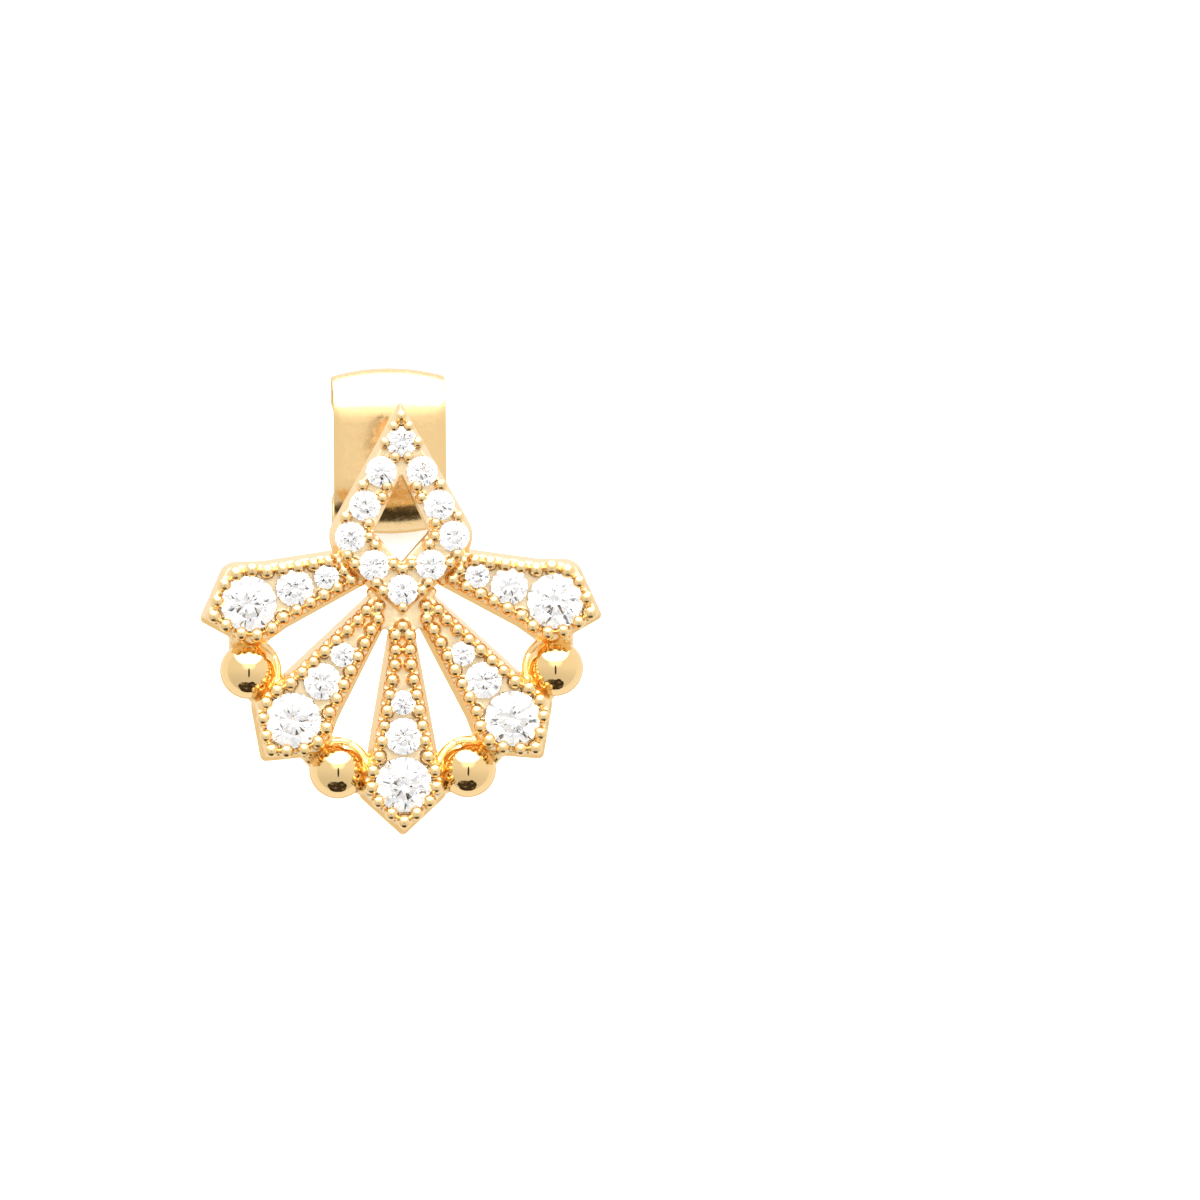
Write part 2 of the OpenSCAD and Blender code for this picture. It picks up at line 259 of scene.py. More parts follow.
@dataclass(frozen=True)
class Gold:
    """Polished gold plating over cast or rolled metal.

    Attributes:
        name: The material's name.
        bright: Colour where it is polished.
        satin: Colour of the floors between the beads.
        polish: Roughness where it is polished.
        blast: Roughness of those floors.
        shaded_bed: Colour inside the seats, a painted shade that stands in for the shadow in the
            holes under the stones.
        ripple: Height of the skin's soft humps, in metres.
        ripple_size: Distance between them, in metres.
        tone_size: Distance between places of another tone, in metres.
        wear_size: Distance between worn places, in metres.
        grit_size: Distance between grains of satin, in metres.
        grit: Their height, in parts of a hump's.
        aged: How much of each colour is left at places of another tone.
    """

    name: str
    bright: Colour = (0.88, 0.64, 0.325)
    satin: Colour = (1.0, 0.79, 0.49)
    polish: float = 0.21
    blast: float = 0.37
    shaded_bed: Colour = (0.11, 0.08, 0.05)
    ripple: float = 7e-6
    ripple_size: float = 3e-4
    tone_size: float = 1.4e-3
    wear_size: float = 1.5e-4
    grit_size: float = 7e-5
    grit: float = 1.2
    aged: Colour = (1.0, 0.965, 0.90)

    def material(self) -> bpy.types.Material:
        """Builds the material."""
        made, tree = new_material(self.name)
        place = tree.add("ShaderNodeTexCoord").outputs["Object"]
        recess = tree.add("ShaderNodeAttribute", attribute_name="recess").outputs["Fac"]
        tone = tree.noise(place, 1.0 / self.tone_size, 2.0)
        wear = tree.noise(place, 1.0 / self.wear_size, 3.0)
        hammer = tree.noise(place, 1.0 / self.ripple_size, 1.0)
        grit = tree.noise(place, 1.0 / self.grit_size, 2.0)
        warm = [c * k for c, k in zip(self.bright, self.aged)]
        polished = tree.mix(tone, self.bright, warm)
        plated = tree.mix(recess, polished, self.satin)
        # Painted shade: the seats' floors under the stones get a near-black colour, standing in
        # for the shadow in the holes.
        inside = tree.add("ShaderNodeAttribute", attribute_name="shaded_bed").outputs["Fac"]
        colour = tree.mix(inside, plated, self.shaded_bed)
        smooth = tree.ramp(wear, 0.35, 0.75, self.polish * 0.75, self.polish * 1.35)
        dull = tree.math("MULTIPLY", recess, self.blast - self.polish)
        rough = tree.math("ADD", smooth, dull)
        grain = tree.math("MULTIPLY", grit, tree.math("MULTIPLY", recess, self.grit))
        height = tree.math("ADD", hammer, grain)
        inputs = {"Strength": 1.0, "Distance": self.ripple, "Height": height}
        normal = tree.add("ShaderNodeBump", inputs).outputs[0]
        inputs = {"Base Color": colour, "Metallic": 1.0, "Roughness": rough}
        tree.surface(inputs | {"Normal": normal})
        return made


@dataclass(frozen=True)
class ClearStone:
    """A clear, colourless cut stone, and how truly its facets are cut.

    Attributes:
        name: The material's name.
        index: Its refractive index.
        polish: Roughness of its facets.
        marks: Roughness added by polishing marks.
        wander: How far its facets' corners are off, in radii.
    """

    name: str = "brilliant"
    index: float = 2.16
    polish: float = 0.0
    marks: float = 0.02
    wander: float = 0.014

    def material(self) -> bpy.types.Material:
        """Builds the material."""
        made, tree = new_material(self.name)
        place = tree.add("ShaderNodeTexCoord").outputs["Object"]
        scratches = tree.noise(place, 9000.0, 2.0)
        rough = tree.ramp(scratches, 0.55, 0.8, self.polish, self.polish + self.marks)
        inputs = {"Base Color": (1.0, 1.0, 1.0, 1.0), "Roughness": rough}
        tree.surface(inputs | {"IOR": self.index, "Transmission Weight": 1.0})
        return made

    def cut(self, drawing: Drawing, names: Sequence[str]) -> None:
        """Cuts the stones that show, by name, with slightly uneven facets."""
        finish = self.material()
        back = drawing.to_row.inverted()
        upward = drawing.to_row.to_3x3() @ OUT
        for number, name in enumerate(names):
            chance = random.Random(number)
            stone = drawing.stone(name)
            radius = stone.diameter / 2
            shells = Shells()
            shells.mesh.from_mesh(drawing.nodes[name].data)
            verts = list(shells.mesh.verts)
            bmesh.ops.remove_doubles(shells.mesh, verts=verts, dist=1e-7)
            for vert in shells.mesh.verts:
                place = back @ vert.co
                wide = (place.xy - stone.place).length / radius
                if place.z < stone.table - 1e-3 and wide < 0.9:
                    vert.co += upward * radius * self.wander * chance.uniform(-1.0, 1.0)
            piece = shells.object(name + "_cut")
            piece.data.materials.append(finish)
            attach(piece, Body.FAN.value)
            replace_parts(piece, name)


# Workshop


@dataclass(frozen=True)
class Corner(Placed):
    """A corner of an outline, rounded with a radius."""

    radius: float = 0.0

    def mirrored(self) -> Corner:
        """Returns the same corner on the other side."""
        return Corner(-self.x, self.y, self.radius)


class Outline:
    """A closed outline of corners, listed clockwise or anticlockwise.

    Attributes:
        beyond: How far past an edge's end a point still belongs to the edge.
        equal: Difference up to which two edges count as equally near.
        step: Turn of a rounded corner's steps, in degrees.
    """

    beyond = 0.2
    equal = 0.01
    step = 9.0

    def __init__(self, corners: Sequence[Corner]) -> None:
        """Keeps the corners in anticlockwise order."""
        points = [c.place for c in corners]
        pairs = zip(points, points[1:] + points[:1])
        turn = sum(a.x * b.y - a.y * b.x for a, b in pairs)
        self.corners = list(corners) if turn > 0 else list(reversed(corners))

    def edge_from(self, point: Vector) -> tuple[Vector, float]:
        """Returns the direction and the distance from a point to the nearest edge."""
        found = []
        corners = self.corners
        for a, b in zip(corners, corners[1:] + corners[:1]):
            along = (b.place - a.place).normalized()
            out = Vector((along.y, -along.x))
            step = (point - a.place).dot(along)
            if -self.beyond <= step <= (b.place - a.place).length + self.beyond:
                found.append(((a.place - point).dot(out), out))
        nearest = min(d for d, _ in found if d > 0)
        outs = [out for d, out in found if 0 < d < nearest + self.equal]
        return sum(outs, Vector((0.0, 0.0))).normalized(), nearest

    def bevels(self) -> list[tuple[Corner, float, int]]:
        """Returns each rounded corner with its bevel's reach and steps."""
        found = []
        corners = self.corners
        for i, corner in enumerate(corners):
            before = (corner.place - corners[i - 1].place).normalized()
            after = (corners[(i + 1) % len(corners)].place - corner.place).normalized()
            turn = before.angle(after)
            if corner.radius > 0:
                steps = max(2, round(turn / math.radians(self.step)))
                found.append((corner, corner.radius * math.tan(turn / 2), steps))
        return found


class Shells:
    """Closed shells of metal that melt into one casting."""

    def __init__(self) -> None:
        """Starts with no metal."""
        self.mesh = bmesh.new()

    def plate(
        self, outline: Outline, low: float, thickness: float, draft: float, lip: float
    ) -> None:
        """Adds a plate whose walls lean in towards its front.

        Args:
            outline: The plate's outline at the back.
            low: Height of its back.
            thickness: Its thickness.
            draft: How far the walls lean in.
            lip: Height at which they start to lean.
        """
        mesh = self.mesh
        verts = [mesh.verts.new((c.x, c.y, low)) for c in outline.corners]
        floor = mesh.faces.new(verts)
        made = bmesh.ops.extrude_face_region(mesh, geom=[floor])["geom"]
        raised = [g for g in made if isinstance(g, bmesh.types.BMVert)]
        bmesh.ops.translate(mesh, verts=raised, vec=(0.0, 0.0, lip))
        floor.normal_flip()
        bmesh.ops.recalc_face_normals(mesh, faces=list(mesh.faces))
        pillars = {}
        for vert in verts:
            for edge in vert.link_edges:
                other = edge.other_vert(vert)
                if abs(other.co.z - vert.co.z) > lip / 2:
                    pillars[(round(vert.co.x, 4), round(vert.co.y, 4))] = edge
        for corner, reach, steps in outline.bevels():
            pillar = pillars[(round(corner.x, 4), round(corner.y, 4))]
            bmesh.ops.bevel(
                mesh, geom=[pillar], offset=reach, offset_type="OFFSET",
                affect="EDGES", segments=steps, profile=0.5, material=-1,
            )
        front = [f for f in mesh.faces if f.normal.z > 0.9]
        top = [f for f in front if abs(f.calc_center_median().z - low - lip) < 1e-5]
        bmesh.ops.inset_region(
            mesh, faces=top, thickness=draft, depth=thickness - lip,
            use_even_offset=True, use_boundary=True,
        )
        many = [f for f in mesh.faces if len(f.verts) > 4]
        bmesh.ops.triangulate(mesh, faces=many)

    def dome(self, x: float, y: float, top: float, radius: float, foot: float) -> None:
        """Adds a column with a round top at a place, up from a foot in the metal."""
        sphere = {"u_segments": 20, "v_segments": 12, "radius": radius}
        made = bmesh.ops.create_uvsphere(self.mesh, **sphere)["verts"]
        shoulder = top - radius
        lower = [v for v in made if v.co.z < -1e-4]
        drop = shoulder - radius - foot
        if drop > 0:
            bmesh.ops.translate(self.mesh, verts=lower, vec=(0.0, 0.0, -drop))
        bmesh.ops.translate(self.mesh, verts=made, vec=(x, y, shoulder))

    def lathe(
        self, profile: Sequence[Point], x: float = 0.0, y: float = 0.0, steps: int = 64
    ) -> Shells:
        """Adds a profile of radii and heights turned about an upright axis."""
        mesh = self.mesh
        verts = [mesh.verts.new((r, 0.0, z)) for r, z in profile]
        edges = [mesh.edges.new(pair) for pair in zip(verts, verts[1:])]
        known = set(mesh.verts) - set(verts)
        bmesh.ops.spin(
            mesh, geom=verts + edges, cent=(0.0, 0.0, 0.0), axis=(0.0, 0.0, 1.0),
            dvec=(0.0, 0.0, 0.0), angle=2 * math.pi, steps=steps,
            use_merge=True, use_duplicate=False,
        )
        made = [v for v in mesh.verts if v not in known]
        bmesh.ops.remove_doubles(mesh, verts=made, dist=1e-5)
        made = [v for v in mesh.verts if v not in known]
        faces = list({f for v in made for f in v.link_faces})
        bmesh.ops.recalc_face_normals(mesh, faces=faces)
        bmesh.ops.translate(mesh, verts=made, vec=(x, y, 0.0))
        return self

    def moved(self, matrix: Matrix) -> Shells:
        """Moves all of the metal, and returns it."""
        bmesh.ops.transform(self.mesh, matrix=matrix, verts=list(self.mesh.verts))
        return self

    def join(self, other: Shells) -> None:
        """Adds another set of shells to this one."""
        scratch = bpy.data.meshes.new("scratch")
        other.mesh.to_mesh(scratch)
        self.mesh.from_mesh(scratch)
        bpy.data.meshes.remove(scratch)

    def less(self, tools: Shells) -> Shells:
        """Returns new shells of this metal with the tools' shapes cut out."""
        cut = carved(self.object("metal"), tools.object("tools"))
        made = Shells()
        made.mesh.from_mesh(cut.data)
        discard(cut)
        return made

    def object(self, name: str) -> Piece:
        """Returns the metal as a mesh object."""
        data = bpy.data.meshes.new(name)
        self.mesh.to_mesh(data)
        made = bpy.data.objects.new(name, data)
        bpy.context.scene.collection.objects.link(made)
        return made


def arc(x: float, z: float, radius: float, degrees: Sequence[float]) -> list[Point]:
    """Returns the points at some angles of a circle round a point."""
    turns = [math.radians(a) for a in degrees]
    return [(x + radius * math.cos(a), z + radius * math.sin(a)) for a in turns]


def both_sides(points: Sequence[Point]) -> list[Point]:
    """Returns points with their mirror images; one on the middle stays single."""
    return [(side * x, y) for x, y in points for side in ((-1, 1) if x else (1,))]


def marks(piece: Piece, name: str) -> zip:
    """Returns each vertex of a piece with its value of a new attribute."""
    made = piece.data.attributes.new(name, "FLOAT", "POINT")
    return zip(piece.data.vertices, made.data)


def discard(piece: Piece) -> None:
    """Removes a piece with its mesh."""
    data = piece.data
    bpy.data.objects.remove(piece)
    bpy.data.meshes.remove(data)


def modify(piece: Piece, kind: str, **settings) -> None:
    """Gives a piece a modifier of a kind, with settings."""
    modifier = piece.modifiers.new(kind, kind)
    for name, value in settings.items():
        setattr(modifier, name, value)


def applied(piece: Piece) -> Piece:
    """Makes what a piece's modifiers give its mesh, and returns the piece."""
    graph = bpy.context.evaluated_depsgraph_get()
    made = bpy.data.meshes.new_from_object(piece.evaluated_get(graph))
    old = piece.data
    piece.modifiers.clear()
    piece.data = made
    bpy.data.meshes.remove(old)
    return piece


def carved(piece: Piece, tool: Piece, operation: str = "DIFFERENCE") -> Piece:
    """Cuts a tool's shape out of a piece or joins it, and returns the piece."""
    modify(piece, "BOOLEAN", operation=operation, solver="MANIFOLD", object=tool)
    applied(piece)
    discard(tool)
    return piece


# Castings


@dataclass(frozen=True)
class Brilliant:
    """Parts of a round brilliant, in radii, for the seats that hold it.

    Attributes:
        table: Radius of the table.
        star: Radius of the points between table and girdle.
        star_rise: Their height, in parts of the crown's.
        crown: Height of the crown.
        girdle: Thickness of the girdle.
        pavilion: Depth of the pavilion.
        hole: Radius of the hole through the seat.
        gap: Clearance round the stone, in millimetres.
        shaded_bed: Distance in from the girdle to where the seat's painted shade starts, in
            millimetres.
    """

    table: float = 0.56
    star: float = 0.79
    star_rise: float = 0.6133
    crown: float = 0.32
    girdle: float = 0.04
    pavilion: float = 0.86
    hole: float = 0.55
    gap: float = 0.03
    shaded_bed: float = 0.02

    def seat(self, shells: Shells, stone: Stone, blind: bool = False) -> None:
        """Adds the cutter of a stone's seat; a blind one has no hole at the back."""
        r = stone.diameter / 2
        reach = r + self.gap
        half = self.girdle * r / 2
        middle = stone.table - self.crown * r - half
        deep = -half - self.pavilion * reach
        drilled = -half - self.pavilion * (reach - self.hole * r)
        well = [(0.0, deep)]
        if not blind:
            well = [(0.0, -4.0), (self.hole * r, -4.0), (self.hole * r, drilled)]
        rise = self.crown * r
        profile = well + [
            (reach, -half),
            (reach, half),
            (self.star * r + self.gap, half + rise * self.star_rise),
            (self.table * r + self.gap, half + rise),
            (self.table * r + self.gap, half + rise + 0.2),
            (0.0, half + rise + 0.2),
        ]
        shells.lathe([(a, z + middle) for a, z in profile], stone.x, stone.y, 48)


@dataclass
class Caster:
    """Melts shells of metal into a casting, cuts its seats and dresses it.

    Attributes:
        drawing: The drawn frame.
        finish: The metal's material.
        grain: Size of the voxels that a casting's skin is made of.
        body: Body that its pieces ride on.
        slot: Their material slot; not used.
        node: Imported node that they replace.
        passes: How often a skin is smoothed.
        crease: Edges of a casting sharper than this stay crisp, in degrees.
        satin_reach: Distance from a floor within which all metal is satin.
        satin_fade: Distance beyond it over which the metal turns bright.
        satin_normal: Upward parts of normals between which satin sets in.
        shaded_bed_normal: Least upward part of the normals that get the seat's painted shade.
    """

    drawing: Drawing
    finish: bpy.types.Material
    grain: float = Grain.FINE.value
    body: Body = Body.FAN
    slot: Slot = Slot.CAST
    node: str = "fan_setting"
    passes: int = 3
    crease: float = 38.0
    satin_reach: float = 0.03
    satin_fade: float = 0.09
    satin_normal: Point = (0.5, 0.9)
    shaded_bed_normal: float = 0.7

    def cast(
        self, name: str, shells: Shells, stones: Sequence[Stone], seats: Shells,
        floors: Sequence[float],
    ) -> None:
        """Makes one casting of shells that overlap, placed in the row frame.

        Args:
            name: The casting's name.
            shells: The metal, in the drawn frame.
            stones: The stones that it holds.
            seats: The cutters of their seats.
            floors: Heights of the flat floors between the beads.
        """
        piece = shells.object(name)
        modify(piece, "REMESH", mode="VOXEL", voxel_size=self.grain, adaptivity=0.0)
        modify(piece, "SMOOTH", factor=0.5, iterations=self.passes)
        carved(applied(piece), seats.object(name + "_seats"))
        self._mark_floors(piece, floors)
        # Marks the seat floors that get the painted shade.
        self._mark_shaded_beds(piece, stones)
        self.place(piece, self.crease)

    def place(self, piece: Piece, angle: float) -> None:
        """Puts a finished piece in the row frame, crisp at edges above an angle."""
        mesh = piece.data
        mesh.transform(self.drawing.to_row)
        for polygon in mesh.polygons:
            polygon.use_smooth = True
        mesh.set_sharp_from_angle(angle=math.radians(angle))
        mesh.materials.clear()
        mesh.materials.append(self.finish)
        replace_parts(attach(piece, self.body.value), self.node)
        LOG.info("%s: %d faces", piece.name, len(mesh.polygons))

    def _mark_floors(self, piece: Piece, floors: Sequence[float]) -> None:
        """Marks the floors between the beads, where the metal stays satin."""
        low, high = self.satin_normal
        for vert, value in marks(piece, "recess"):
            above = min(abs(vert.co.z - floor) for floor in floors)
            fade = 1.0 - min(1.0, max(0.0, above - self.satin_reach) / self.satin_fade)
            value.value = fade * max(0.0, min(1.0, (vert.normal.z - low) / (high - low)))

    def _mark_shaded_beds(self, piece: Piece, stones: Sequence[Stone]) -> None:
        """Marks the insides of the seats, which get painted shade in place of the shadow there."""
        for vert, value in marks(piece, "shaded_bed"):
            if vert.normal.z < self.shaded_bed_normal:
                continue
            for stone in stones:
                if vert.co.z < stone.table - Brilliant.crown * stone.diameter / 2:
                    gap = (vert.co.xy - stone.place).length - stone.diameter / 2
                    if gap < -Brilliant.shaded_bed:
                        value.value = 1.0


@dataclass(frozen=True)
class Beading:
    """Cast beads that stand on a plate and hold its stones.

    Attributes:
        height: Height of a bead above the plate.
        radius: Radius of a bead.
        rib: Height of the rib from a bead to the wall.
        rib_radius: Radius of that rib.
        rib_inset: Distance from the rib's end to the wall.
        least_rib: Shortest rib that is made.
        foot: How far a bead reaches down into the plate.
        rib_foot: How far a rib reaches down into it.
        uneven: How much the beads differ in size.
    """

    height: float = 0.5
    radius: float = 0.232
    rib: float = 0.43
    rib_radius: float = 0.175
    rib_inset: float = 0.14
    least_rib: float = 0.02
    foot: float = 0.15
    rib_foot: float = 0.2
    uneven: float = 0.045

    def bead(self, shells: Shells, x: float, y: float, plate: float, most: float = 1.0) -> None:
        """Adds a bead on a plate, with at most the radius that there is room for."""
        wobble = math.sin(37.0 * x + 61.0 * y)
        radius = min(self.radius * (1 + self.uneven * wobble), most)
        top = plate + self.height * (1 - self.uneven * math.cos(53.0 * x - 29.0 * y))
        shells.dome(x, y, top, radius, plate - self.foot)

    def toothed(self, shells: Shells, x: float, y: float, plate: float, outline: Outline) -> None:
        """Adds a bead on a plate, with a rib out to the wall."""
        out, distance = outline.edge_from(Vector((x, y)))
        self.bead(shells, x, y, plate, distance)
        reach = distance - self.rib_inset - self.rib_radius
        if reach > self.least_rib:
            end = Vector((x, y)) + out * reach
            foot = plate - self.rib_foot
            shells.dome(end.x, end.y, plate + self.rib, self.rib_radius, foot)


class Plated:
    """A plate with beads that hold stones, the seat of one of them perhaps blind."""

    name: str
    blind: int = -1
    stones: tuple[Stone, ...]
    beading: Beading
    plate: float = 0.95
    lip: float = 0.3
    table_drop: float = 0.05

    @property
    def lift(self) -> float:
        """Height of the plate's back."""
        return self.stones[0].table + self.table_drop - self.beading.height - self.plate

    def make(self, caster: Caster, web: Web | None = None) -> None:
        """Casts it, with the web where that is given."""
        metal = self.metal()
        floors = [self.lift + self.plate]
        if web is not None:
            metal.join(web.metal())
            floors.append(web.back + web.plate)
        seats = Shells()
        for i, stone in enumerate(self.stones):
            Brilliant().seat(seats, stone, blind=i == self.blind)
        caster.cast(self.name, metal, self.stones, seats, floors)


@dataclass
class Blade(Plated):
    """One of the fan's five blades.

    Attributes:
        name: Its name.
        stones: Its large, medium and small stone.
        balls: Places of the balls that are soldered to it.
        root: How far it runs from the large stone back to the hub.
        flank_beads: Beads along the flank towards the kite.
        under_beads: Beads along the other flank.
        hub_bead: Distance from the large stone to a last single bead.
        crowding: How much closer the beads near the hub are.
        joint: Heights of the solder along the kite's edge, from and to.
    """

    name: str
    stones: tuple[Stone, ...]
    balls: tuple[Vector, ...]
    root: float
    flank_beads: int
    under_beads: int
    hub_bead: float
    crowding: float = 0.0
    joint: Point | None = None
    shoulder_width: float = 3.04
    blade_point: float = 1.69
    point_round: float = 0.19
    side_round: float = 0.5
    hip_width: float = 2.31
    hip: float = 0.9
    shoulder: float = -0.29
    taper: float = 0.178
    inset: float = 0.365
    pitch: float = 0.495
    point_bead: float = -1.2
    draft: float = 0.14
    neck_width: float = 1.24
    neck_start: float = 0.5
    neck_reach: float = 1.35
    neck: float = 0.6
    neck_draft: float = 0.06
    solder: tuple[tuple[float, float, float, float], ...] = (
        (-0.44, 0.90, 0.66, 0.20), (-0.25, 1.02, 0.84, 0.19), (-0.02, 1.08, 0.90, 0.21),
        (0.22, 1.03, 0.80, 0.20), (0.43, 0.91, 0.70, 0.19), (-0.13, 0.93, 0.80, 0.17),
        (0.12, 0.94, 0.80, 0.18),
    )
    seam: float = 0.92
    seam_radius: float = 0.15
    seam_lumps: int = 15
    seam_start: float = 26.0
    seam_step: float = 3.5
    seam_top: float = 0.69
    seam_fall: float = 0.01
    seam_foot: float = 0.05
    joint_radius: float = 0.15
    joint_out: float = 0.13
    joint_rise: float = 0.05
    joint_step: float = 0.09
    joint_foot: float = 0.3
    beading: Beading = Beading()
    head_beads: tuple[Point, ...] = ((1.0, 0.45), (1.045, -0.08), (0.83, -0.54), (0.41, -0.93))

    @property
    def axis(self) -> Matrix:
        """Matrix from the blade's own frame to the drawn one."""
        large, medium = self.stones[0], self.stones[1]
        along = (medium.place - large.place).normalized()
        turn = math.atan2(-along.x, along.y)
        start = Matrix.Translation((large.x, large.y, self.lift))
        return start @ Matrix.Rotation(turn, 4, "Z")

    def flank(self, t: float) -> float:
        """Half the blade's width at a distance from its large stone."""
        return self.hip_width / 2 - self.taper * (t - self.hip)

    def outline(self) -> Outline:
        """The blade's outline in its own frame."""
        right = [
            Corner(self.flank(self.root), self.root),
            Corner(self.hip_width / 2, self.hip, self.side_round),
            Corner(self.shoulder_width / 2, self.shoulder, self.side_round),
        ]
        point = Corner(0.0, -self.blade_point, self.point_round)
        return Outline(right + [point] + [c.mirrored() for c in reversed(right)])

    def metal(self) -> Shells:
        """The blade's plate and beads in the drawn frame."""
        shells = Shells()
        outline = self.outline()
        shells.plate(outline, 0.0, self.plate, self.draft, self.lip)
        places = []
        for side in (-1, 1):
            under = side * self.axis.to_euler().z < -0.01
            for i in range(self.under_beads if under else self.flank_beads):
                t = self.hip + i * self.pitch - self.crowding * max(0, i - 4) ** 2
                x = max(self.flank(t) - self.inset, self.beading.radius)
                places.append((side * x, t))
            places += [(side * x, y) for x, y in self.head_beads]
        for x, y in places + [(0.0, self.point_bead)]:
            self.beading.toothed(shells, x, y, self.plate, outline)
        self.beading.bead(shells, 0.0, self.hub_bead, self.plate)
        shells.moved(self.axis)
        for ball in self.balls:
            self._solder(shells, ball)
        if self.joint is not None:
            self._joint(shells, *self.joint)
        return shells

    def _solder(self, shells: Shells, ball: Vector) -> None:
        """Adds the neck between the blade and a ball, and its lumps of solder."""
        towards = (self.stones[0].place - ball).normalized()
        across = Vector((towards.y, -towards.x))
        near, far = self.neck_start, self.neck_reach
        corners = []
        for reach, side in ((near, -1), (near, 1), (far, 1), (far, -1)):
            place = ball + towards * reach + across * side * self.neck_width / 2
            corners.append(Corner(place.x, place.y))
        shells.plate(Outline(corners), self.lift, self.neck, self.neck_draft, self.lip)
        for side, reach, top, radius in self.solder:
            place = ball + towards * reach + across * side
            shells.dome(place.x, place.y, self.lift + top, radius, self.lift)
        inwards = math.copysign(1.0, towards.y * ball.x - towards.x * ball.y)
        for i in range(self.seam_lumps):
            turn = math.radians(self.seam_start + self.seam_step * i) * inwards
            place = ball + Matrix.Rotation(turn, 2) @ towards * self.seam
            top = self.lift + self.seam_top - self.seam_fall * i
            foot = self.lift + self.seam_foot
            shells.dome(place.x, place.y, top, self.seam_radius, foot)

    def _joint(self, shells: Shells, start: float, end: float) -> None:
        """Adds the solder in the corner between the blade and the kite's edge."""
        side = math.copysign(1.0, self.stones[0].x)
        steps = round((end - start) / self.joint_step)
        for i in range(steps + 1):
            y = start + (end - start) * i / steps
            top = self.lift + self.plate + self.joint_rise
            x = side * (y + self.joint_out)
            shells.dome(x, y, top, self.joint_radius, self.lift + self.joint_foot)

@dataclass
class Web:
    """The web that joins the three lower blades at the hub."""

    back: float
    plate: float = 0.98
    half: float = 0.69
    bottom: float = -0.465
    top: float = 1.035
    window: float = 0.14
    window_at: float = 0.552

    def metal(self) -> Shells:
        """The web with the round tops of its windows cut out."""
        shells = Shells()
        made = bmesh.ops.create_cube(shells.mesh, size=1.0)["verts"]
        low = Vector((-self.half, self.bottom, self.back))
        high = Vector((self.half, self.top, self.back + self.plate))
        bmesh.ops.scale(shells.mesh, verts=made, vec=high - low)
        bmesh.ops.translate(shells.mesh, verts=made, vec=(low + high) / 2)
        tools = Shells()
        low, high = self.back - 1.0, self.back + self.plate + 1.0
        profile = [(0.0, low), (self.window, low), (self.window, high), (0.0, high)]
        for x in (-self.window_at, self.window_at):
            tools.lathe(profile, x, self.bottom, 24)
        return shells.less(tools)


@dataclass
class Kite(Plated):
    """The pierced kite above the blades."""

    stones: tuple[Stone, ...]
    name: str = "kite_frame"
    blind: int = 0
    edge: tuple[Corner, ...] = (
        Corner(0.0, 7.04, 0.1), Corner(2.56, 2.49, 0.95), Corner(0.0, -0.065, 0.08)
    )
    hole: tuple[Corner, ...] = (
        Corner(0.0, 4.645, 0.05), Corner(0.887, 2.806, 0.08), Corner(0.0, 1.839, 0.05)
    )
    draft: float = 0.18
    apex_solder: Point = (0.0, 6.34)
    apex_radius: float = 0.13
    apex_height: float = 0.3
    beading: Beading = Beading(radius=0.187, rib=0.4, rib_radius=0.17, rib_inset=0.1)
    edge_beads: tuple[Point, ...] = (
        (0.0, 6.54), (0.24, 6.20), (0.53, 5.68), (1.27, 4.31), (1.82, 3.29),
        (1.77, 2.07), (1.53, 1.78), (0.84, 1.16), (0.62, 0.90), (0.0, 0.36),
    )
    inner_beads: tuple[Point, ...] = (
        (0.21, 5.22), (0.48, 4.27), (0.63, 3.91), (1.08, 3.08),
        (1.06, 2.66), (0.86, 2.38), (0.30, 1.77), (0.0, 1.60),
    )

    @staticmethod
    def outline(top: Corner, side: Corner, foot: Corner) -> Outline:
        """Returns a kite's outline."""
        return Outline([top, side, foot, side.mirrored()])

    def metal(self) -> Shells:
        """The kite's plate and beads in the drawn frame."""
        outline = self.outline(*self.edge)
        body = Shells()
        body.plate(outline, self.lift, self.plate, self.draft, self.lip)
        tool = Shells()
        tool.plate(self.outline(*self.hole), self.lift - 0.5, self.plate + 1.0, -0.03, 0.6)
        shells = body.less(tool)
        face = self.lift + self.plate
        top, foot = face + self.apex_height, face - self.apex_height
        shells.dome(*self.apex_solder, top, self.apex_radius, foot)
        for x, y in both_sides(self.edge_beads):
            self.beading.toothed(shells, x, y, face, outline)
        for x, y in both_sides(self.inner_beads):
            self.beading.bead(shells, x, y, face)
        return shells

@dataclass
class Ball:
    """A polished ball, flat at the back."""

    number: int
    x: float
    y: float
    back: float
    radius: float = 0.925
    height: float = 0.48
    edge: float = 0.05
    sunk: float = 0.012
    steps: int = 40

    def make(self, caster: Caster) -> None:
        """Turns the ball, with its back edge softened."""
        low = math.degrees(math.asin((self.height - self.edge) / self.radius))
        turns = [90 - (low + 90) * i / self.steps for i in range(self.steps)]
        profile = arc(0.0, self.height, self.radius, turns)
        rim = profile[-1][0]
        profile += [(rim - self.edge * 0.3, self.edge * 0.3), (rim - self.edge, 0.0)]
        profile.append((0.0, 0.0))
        profile[0] = (0.0, profile[0][1])
        raised = [(r, z + self.back + self.sunk) for r, z in profile]
        metal = Shells().lathe(raised, self.x, self.y, steps=96)
        caster.place(metal.object(f"ball_{self.number}"), 50.0)


